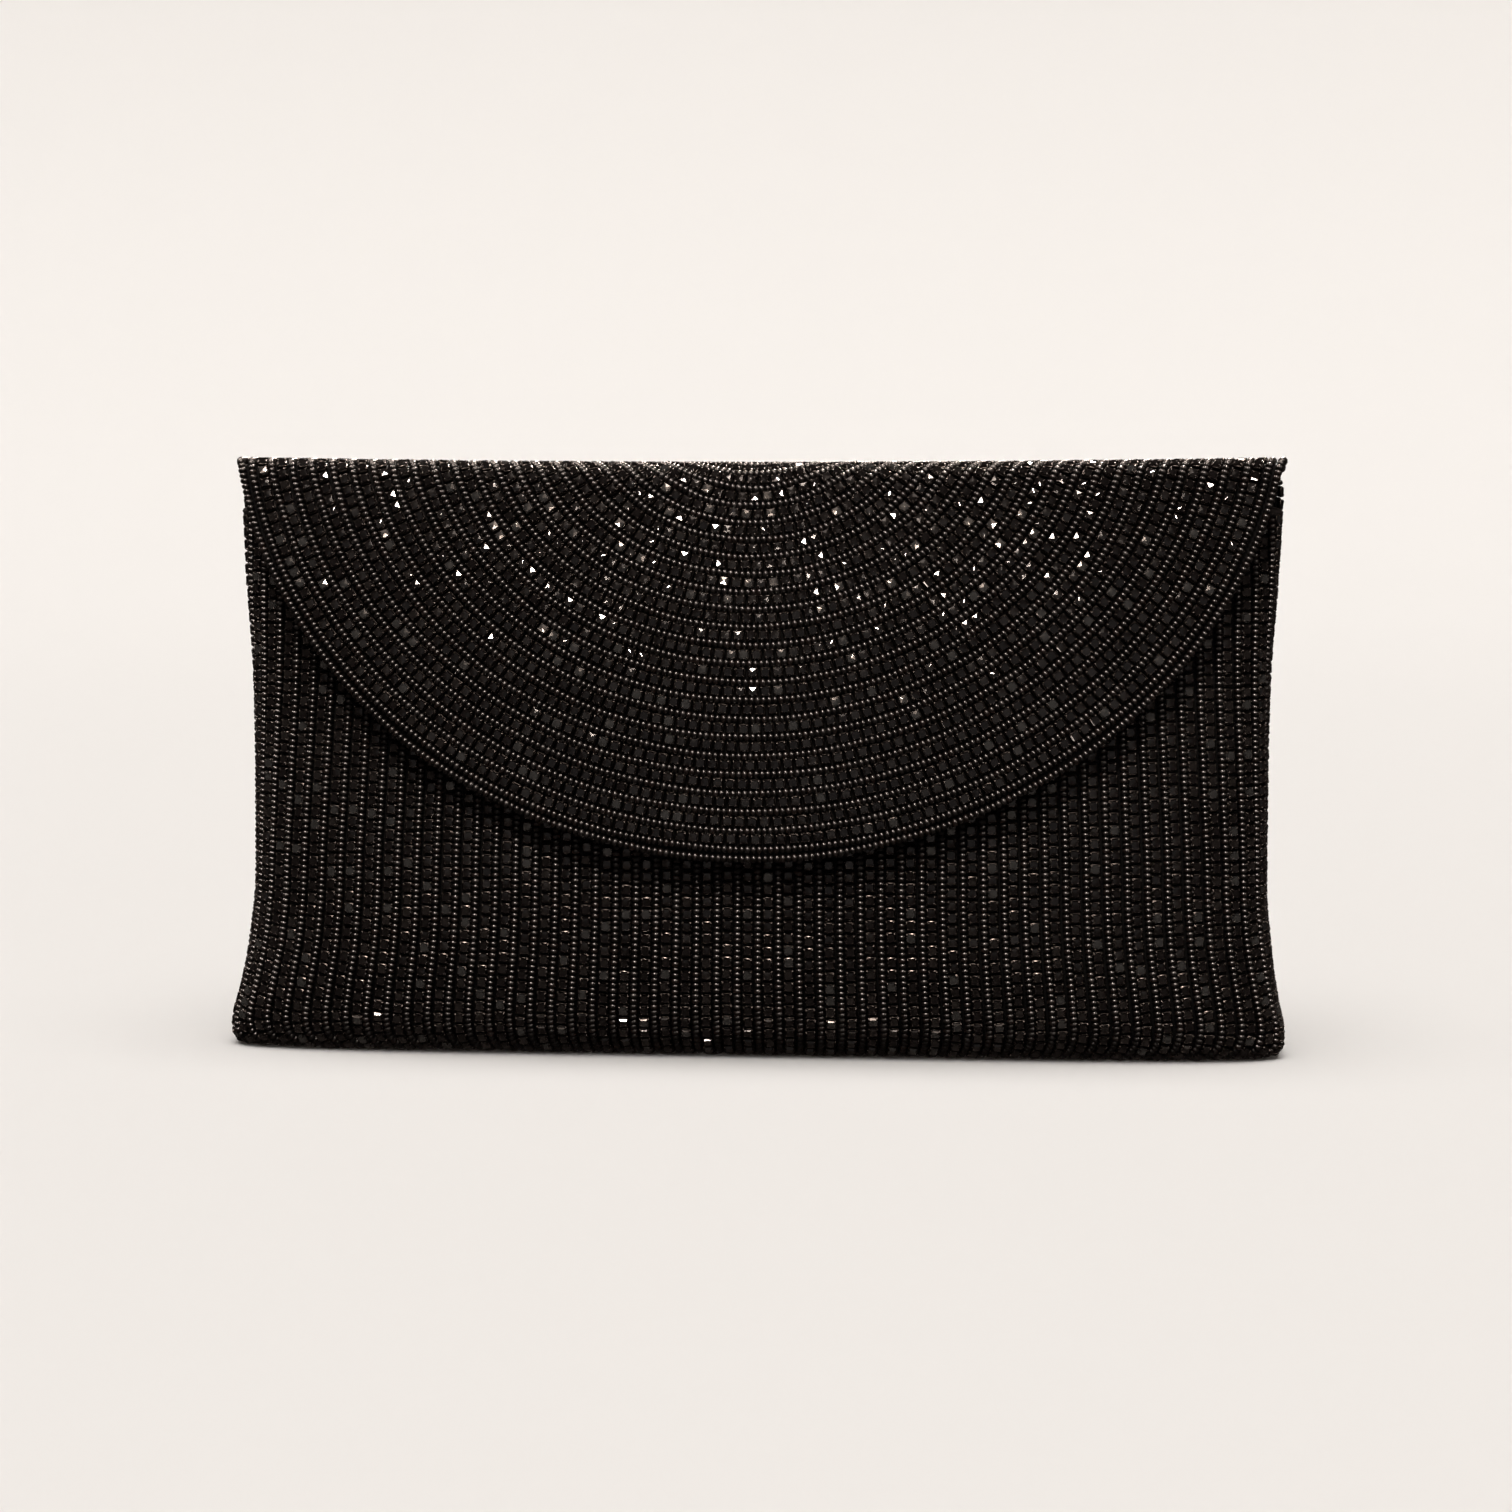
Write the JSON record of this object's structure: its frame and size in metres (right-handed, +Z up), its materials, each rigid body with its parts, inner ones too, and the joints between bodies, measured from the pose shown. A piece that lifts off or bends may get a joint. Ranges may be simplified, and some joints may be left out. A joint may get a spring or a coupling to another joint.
{
  "type": "beaded envelope clutch purse",
  "caption": "Upright envelope clutch with a beaded body, a semicircular fold-over flap and a concealed magnetic snap.",
  "frame": {"origin": "centre of the footprint box, on the surface that the purse stands on", "axes": "+X across the width, -Y towards the front with the flap, +Z up"},
  "size_m": [0.2732, 0.0519, 0.153],
  "materials": {
    "glass_beads": "gloss",
    "board": "matte",
    "satin": "satin",
    "edge_binding": "matte",
    "snap_metal": "satin",
    "magnet": "satin",
    "steel": "satin"
  },
  "bodies": {
    "purse_body": {"front_beaded_panel": "glass_beads", "back_beaded_panel": "glass_beads", "base_beaded_panel": "glass_beads", "left_side_gusset": "glass_beads", "right_side_gusset": "glass_beads", "front_board": "board", "back_board": "board", "base_board": "board", "front_lining": "satin", "back_lining": "satin", "base_lining": "satin", "mouth_binding": "edge_binding", "slip_pocket": "satin", "pocket_binding": "edge_binding", "snap_socket_case": "snap_metal", "snap_socket_magnet": "magnet", "snap_socket_washer": "steel"},
    "spine": {"spine_beaded_strip": "glass_beads", "spine_lining": "satin"},
    "flap": {"flap_beaded_panel": "glass_beads", "flap_board": "board", "flap_lining": "satin", "flap_edge_binding": "edge_binding", "snap_stud_plate": "snap_metal", "snap_stud_washer": "steel"}
  },
  "joints": [
    {"name": "back_fold", "type": "hinge", "parent": "purse_body", "child": "spine", "pos_m": [0, 0.0162, 0.153], "axis": [-1, 0, 0], "range_deg": [0, 110]},
    {"name": "front_fold", "type": "hinge", "parent": "spine", "child": "flap", "pos_m": [0, 0.0022, 0.153], "axis": [-1, 0, 0], "range_deg": [0, 70]}
  ],
  "couplings": [
    {"joint": "front_fold", "follows": "back_fold", "ratio": 0.6363}
  ]
}
